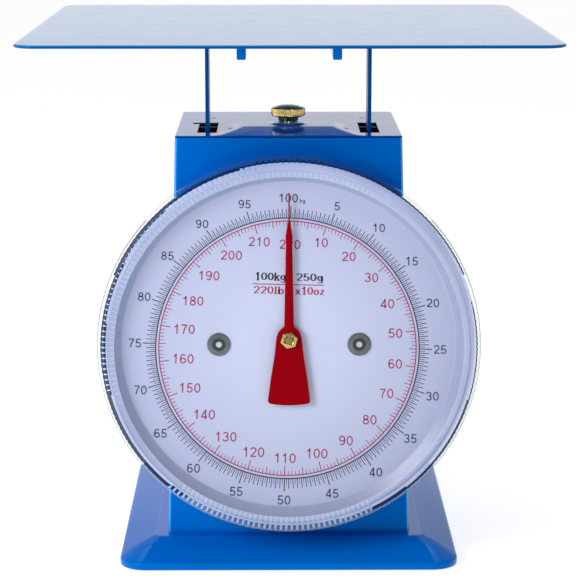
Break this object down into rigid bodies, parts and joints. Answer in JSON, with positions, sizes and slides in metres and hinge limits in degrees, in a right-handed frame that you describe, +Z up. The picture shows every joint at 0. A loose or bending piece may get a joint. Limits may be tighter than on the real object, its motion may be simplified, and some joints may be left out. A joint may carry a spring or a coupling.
{
  "type": "mechanical dial platform scale",
  "caption": "Free-standing spring dial scale: flat platform on two post strips, tapered casing, round covered dial with pointer, brass zero knob and pressed base tray.",
  "frame": {"origin": "centre of the supporting surface, under the middle of the platform", "axes": "+X to the viewer's right when facing the dial, +Y from the dial to the back, +Z up"},
  "size_m": [0.33, 0.33, 0.361],
  "materials": {
    "blue_paint": "glossy blue enamel",
    "blue_yoke": "blue paint on strip steel",
    "dial_white": "white enamel with printed scale",
    "clear_plastic": "clear moulded plastic",
    "pointer_red": "glossy red enamel",
    "brass": "turned, polished",
    "zinc_steel": "zinc plated, satin",
    "spring_steel": "oiled spring wire",
    "dark_washer": "grey-green chromate",
    "bronze": "sintered bronze",
    "black_rubber": "matt"
  },
  "bodies": {
    "root": {"base_plate": "blue_paint", "rubber_feet": "black_rubber", "foot_screws": "zinc_steel", "body_shell": "blue_paint", "foot_brackets": "zinc_steel", "body_screws": "zinc_steel", "top_cover": "blue_paint", "top_screws": "dark_washer", "rear_cover": "blue_paint", "rear_screws": "zinc_steel", "front_plate": "zinc_steel", "bearing_bracket": "zinc_steel", "bracket_screws": "zinc_steel", "shaft_bushes": "bronze", "dial_housing": "blue_paint", "dial_spacers": "zinc_steel", "dial_face": "dial_white", "dial_washers": "dark_washer", "dial_screws": "zinc_steel", "dial_cover": "clear_plastic", "top_bridge": "zinc_steel", "guide_column": "zinc_steel", "column_screws": "zinc_steel", "column_pins": "zinc_steel", "stop_post": "zinc_steel", "stop_buffer": "black_rubber", "left_spring": "spring_steel", "right_spring": "spring_steel"},
    "knob": {"zero_knob": "brass"},
    "hanger": {"adjust_screw": "zinc_steel", "spring_hanger": "zinc_steel"},
    "load_frame": {"load_bar": "zinc_steel", "left_post": "blue_yoke", "right_post": "blue_yoke", "yoke_bar": "blue_yoke", "yoke_rivets": "zinc_steel", "guide_pins": "zinc_steel", "rack": "brass", "rack_screws": "zinc_steel"},
    "upper_lever": {"upper_stay": "zinc_steel"},
    "lower_lever": {"lower_stay": "zinc_steel"},
    "platform": {"pan": "blue_paint", "left_rib": "blue_paint", "right_rib": "blue_paint"},
    "pointer_train": {"pointer_shaft": "zinc_steel", "pinion": "brass", "pointer_hub": "brass", "pointer": "pointer_red", "pointer_nut": "brass"}
  },
  "joints": [
    {"name": "load_slide", "type": "slide", "parent": "root", "child": "load_frame", "axis": [0, 0, -1], "range_m": [0, 0.02513], "stiffness_N_per_m": 39000, "springref_m": -0.0014, "deforming": ["left_spring", "right_spring"]},
    {"name": "pointer_spin", "type": "hinge", "parent": "root", "child": "pointer_train", "pos_m": [0, 0, 0.161], "axis": [0, 1, 0], "range_deg": [0, 360.46]},
    {"name": "upper_lever_swing", "type": "hinge", "parent": "root", "child": "upper_lever", "pos_m": [0, 0.08, 0.225], "axis": [1, 0, 0], "range_deg": [0, 23.69]},
    {"name": "lower_lever_swing", "type": "hinge", "parent": "root", "child": "lower_lever", "pos_m": [0, 0.08, 0.095], "axis": [1, 0, 0], "range_deg": [0, 23.69]},
    {"name": "zero_knob_turn", "type": "hinge", "parent": "root", "child": "knob", "pos_m": [0, 0, 0.2933], "axis": [0, 0, 1], "range_deg": [-722, 722]},
    {"name": "hanger_slide", "type": "slide", "parent": "root", "child": "hanger", "axis": [0, 0, 1], "range_m": [-0.002, 0.002], "deforming": ["left_spring", "right_spring"]},
    {"name": "pan_lift", "type": "slide", "parent": "load_frame", "child": "platform", "axis": [0, 0, 1], "range_m": [0, 0.04]}
  ],
  "couplings": [
    {"joint": "pointer_spin", "follows": "load_slide", "rad_per_m": 250},
    {"joint": "upper_lever_swing", "follows": "load_slide", "rad_per_m": 16.242},
    {"joint": "lower_lever_swing", "follows": "load_slide", "rad_per_m": 16.242},
    {"joint": "zero_knob_turn", "follows": "hanger_slide", "rad_per_m": 6283.2}
  ]
}
